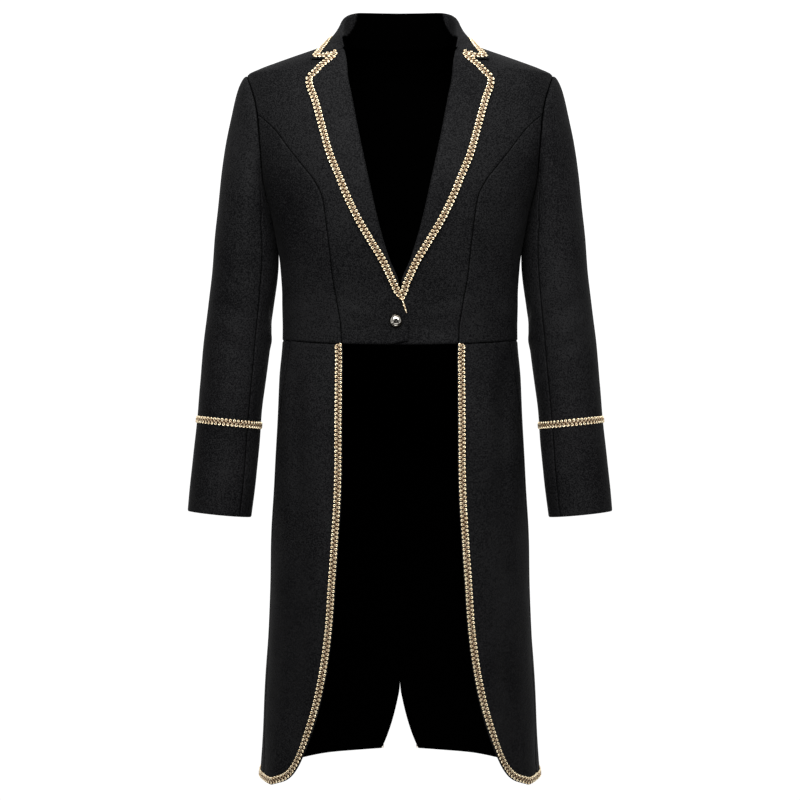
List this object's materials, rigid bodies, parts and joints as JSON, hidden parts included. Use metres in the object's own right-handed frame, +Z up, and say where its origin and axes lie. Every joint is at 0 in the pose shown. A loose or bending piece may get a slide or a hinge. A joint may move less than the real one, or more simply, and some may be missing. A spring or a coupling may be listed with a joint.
{
  "type": "tailcoat",
  "caption": "Black cutaway tailcoat, worn and hollow, with notched lapels, gold braid edges, a metal button and curved tails.",
  "frame": {"origin": "midway between the neck points at shoulder height, where the wearer's shoulders carry the coat", "axes": "+X to the wearer's left, -Y out of the front, +Z up"},
  "size_m": [0.5952, 0.2939, 1.0849],
  "materials": {
    "suiting": "matte twill with a soft sheen",
    "gold_braid": "looped metallic gimp",
    "button_metal": "polished"
  },
  "bodies": {
    "root": {"front_right": "suiting", "front_left": "suiting", "side_front_right": "suiting", "side_front_left": "suiting", "back_right": "suiting", "back_left": "suiting", "tail_front_right": "suiting", "tail_front_left": "suiting", "tail_back_right": "suiting", "tail_back_left": "suiting", "top_sleeve_right": "suiting", "top_sleeve_left": "suiting", "under_sleeve_right": "suiting", "under_sleeve_left": "suiting", "lapel_right": "suiting", "lapel_left": "suiting", "collar": "suiting", "trim_lapel_right": "gold_braid", "trim_lapel_left": "gold_braid", "trim_collar": "gold_braid", "trim_tail_right": "gold_braid", "trim_tail_left": "gold_braid", "trim_hem_right": "gold_braid", "trim_hem_left": "gold_braid", "trim_cuff_right": "gold_braid", "trim_cuff_left": "gold_braid", "button": "button_metal"}
  },
  "joints": []
}
